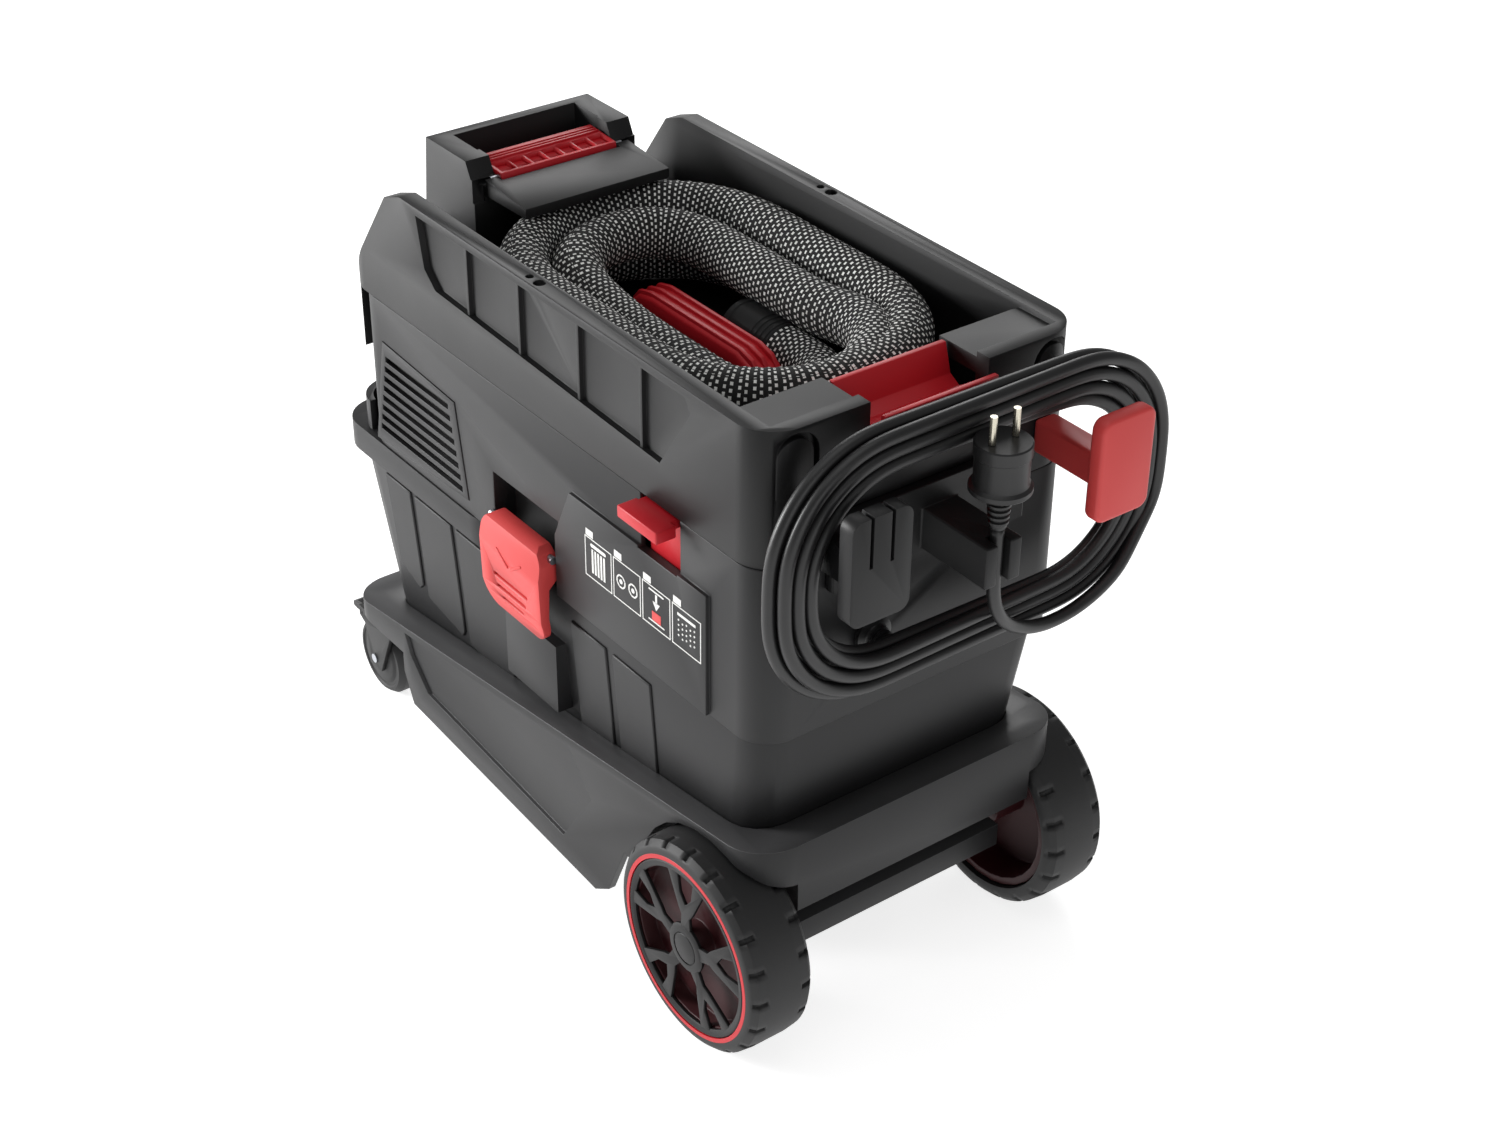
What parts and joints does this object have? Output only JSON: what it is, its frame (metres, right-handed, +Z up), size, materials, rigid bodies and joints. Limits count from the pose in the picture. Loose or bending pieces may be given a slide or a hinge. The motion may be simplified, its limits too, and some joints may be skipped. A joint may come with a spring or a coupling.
{
  "type": "shop vacuum",
  "caption": "Wheeled wet and dry shop vacuum: tank on a chassis, clip-on motor head, and a top tray that holds the coiled hose, with a cord hung on rear hooks.",
  "frame": {"origin": "centre of the bounding box at floor level, measured without the cord and hose", "axes": "+Z up; +X towards the rear, where the large wheels and the mains cord are; +Y towards the side opposite the filter lever"},
  "size_m": [0.6513, 0.337, 0.5],
  "materials": {
    "charcoal_plastic": "fine grained moulding",
    "black_plastic": "fine grained moulding",
    "red_plastic": "satin",
    "rubber": "matte",
    "wheel_rubber": "matte",
    "steel": "drawn",
    "motor_steel": "pressed",
    "fan_aluminium": "as cast",
    "plated_brass": "nickel plated",
    "filter_paper": "pleated",
    "hose_sleeve": "woven, with light flecks"
  },
  "bodies": {
    "base": {"chassis": "charcoal_plastic", "tank": "charcoal_plastic", "inlet_port": "black_plastic", "rear_axle": "steel"},
    "head": {"head_shell": "charcoal_plastic", "head_base_plate": "black_plastic", "tank_seal": "rubber", "fan_housing": "black_plastic", "fan_motor": "motor_steel", "filter": "filter_paper", "float_cage": "black_plastic", "vent_grille_left": "charcoal_plastic", "vent_grille_right": "charcoal_plastic", "latch_pin_left": "steel", "latch_pin_right": "steel", "tray": "black_plastic", "handle_block": "black_plastic", "front_flap_pin": "steel", "rear_latch_pin": "steel", "carry_handle": "red_plastic", "cord_hook_fixed": "black_plastic", "plug_clip": "black_plastic", "cord_gland": "rubber", "cord_lead": "rubber", "cord_coil": "rubber", "cord_tail": "rubber", "plug_body": "rubber", "plug_pin_left": "plated_brass", "plug_pin_right": "plated_brass", "hose_coil": "hose_sleeve", "hose_end": "hose_sleeve", "hose_cuff": "black_plastic"},
    "filter_shaker": {"filter_lever": "red_plastic"},
    "flap": {"front_flap": "red_plastic"},
    "rear_lid": {"rear_latch": "red_plastic"},
    "swivel_hook": {"cord_hook_swivel": "red_plastic"},
    "knob": {"power_knob": "red_plastic"},
    "lid": {"socket_lid": "black_plastic"},
    "rotor": {"motor_shaft": "steel", "impeller": "fan_aluminium"},
    "float": {"float_ball": "red_plastic"},
    "wheel_left": {"rear_tyre_left": "wheel_rubber", "rear_wheel_core_left": "red_plastic", "spoke_cover_left": "black_plastic", "hub_cap_left": "black_plastic"},
    "caster_left": {"caster_fork_left": "black_plastic", "caster_axle_left": "steel"},
    "roller_left": {"caster_wheel_left": "wheel_rubber"},
    "pedal_left": {"brake_pedal_left": "black_plastic"},
    "clip_left": {"side_latch_left": "red_plastic"},
    "wheel_right": {"rear_tyre_right": "wheel_rubber", "rear_wheel_core_right": "red_plastic", "spoke_cover_right": "black_plastic", "hub_cap_right": "black_plastic"},
    "caster_right": {"caster_fork_right": "black_plastic", "caster_axle_right": "steel"},
    "roller_right": {"caster_wheel_right": "wheel_rubber"},
    "pedal_right": {"brake_pedal_right": "black_plastic"},
    "clip_right": {"side_latch_right": "red_plastic"}
  },
  "joints": [
    {"name": "head_lift", "type": "slide", "parent": "base", "child": "head", "axis": [0, 0, 1], "range_m": [0, 0.2]},
    {"name": "wheel_left_spin", "type": "hinge", "parent": "base", "child": "wheel_left", "pos_m": [0.204, -0.134, 0.08], "axis": [0, 1, 0], "continuous": true},
    {"name": "caster_left_swivel", "type": "hinge", "parent": "base", "child": "caster_left", "pos_m": [-0.268, -0.112, 0.076], "axis": [0, 0, 1], "continuous": true},
    {"name": "roller_left_spin", "type": "hinge", "parent": "caster_left", "child": "roller_left", "pos_m": [-0.284, -0.112, 0.034], "axis": [0, 1, 0], "continuous": true},
    {"name": "brake_left", "type": "hinge", "parent": "caster_left", "child": "pedal_left", "pos_m": [-0.301, -0.112, 0.071], "axis": [0, -1, 0], "range_deg": [0, 14]},
    {"name": "side_latch_left_open", "type": "hinge", "parent": "head", "child": "clip_left", "pos_m": [-0.028, -0.1335, 0.286], "axis": [-1, 0, 0], "range_deg": [0, 60]},
    {"name": "wheel_right_spin", "type": "hinge", "parent": "base", "child": "wheel_right", "pos_m": [0.204, 0.134, 0.08], "axis": [0, 1, 0], "continuous": true},
    {"name": "caster_right_swivel", "type": "hinge", "parent": "base", "child": "caster_right", "pos_m": [-0.268, 0.112, 0.076], "axis": [0, 0, 1], "continuous": true},
    {"name": "roller_right_spin", "type": "hinge", "parent": "caster_right", "child": "roller_right", "pos_m": [-0.284, 0.112, 0.034], "axis": [0, 1, 0], "continuous": true},
    {"name": "brake_right", "type": "hinge", "parent": "caster_right", "child": "pedal_right", "pos_m": [-0.301, 0.112, 0.071], "axis": [0, -1, 0], "range_deg": [0, 14]},
    {"name": "side_latch_right_open", "type": "hinge", "parent": "head", "child": "clip_right", "pos_m": [-0.028, 0.1335, 0.286], "axis": [1, 0, 0], "range_deg": [0, 60]},
    {"name": "filter_lever_push", "type": "slide", "parent": "head", "child": "filter_shaker", "axis": [0, 0, -1], "range_m": [0, 0.026], "stiffness_N_per_m": 60, "springref_m": -0.01},
    {"name": "front_flap_open", "type": "hinge", "parent": "head", "child": "flap", "pos_m": [-0.176, 0, 0.485], "axis": [0, 1, 0], "range_deg": [0, 80]},
    {"name": "rear_latch_open", "type": "hinge", "parent": "head", "child": "rear_lid", "pos_m": [0.24, 0, 0.461], "axis": [0, 1, 0], "range_deg": [0, 25]},
    {"name": "cord_hook_turn", "type": "hinge", "parent": "head", "child": "swivel_hook", "pos_m": [0.2464, 0.1, 0.42], "axis": [1, 0, 0], "range_deg": [0, 90]},
    {"name": "power_knob_turn", "type": "hinge", "parent": "head", "child": "knob", "pos_m": [-0.2704, -0.045, 0.37], "axis": [1, 0, 0], "range_deg": [-45, 45]},
    {"name": "socket_lid_open", "type": "hinge", "parent": "head", "child": "lid", "pos_m": [-0.2724, 0.046, 0.395], "axis": [0, 1, 0], "range_deg": [0, 100]},
    {"name": "fan_spin", "type": "hinge", "parent": "head", "child": "rotor", "pos_m": [0.07, 0, 0.28], "axis": [0, 0, 1], "continuous": true},
    {"name": "float_rise", "type": "slide", "parent": "head", "child": "float", "axis": [0, 0, 1], "range_m": [0, 0.042]}
  ]
}
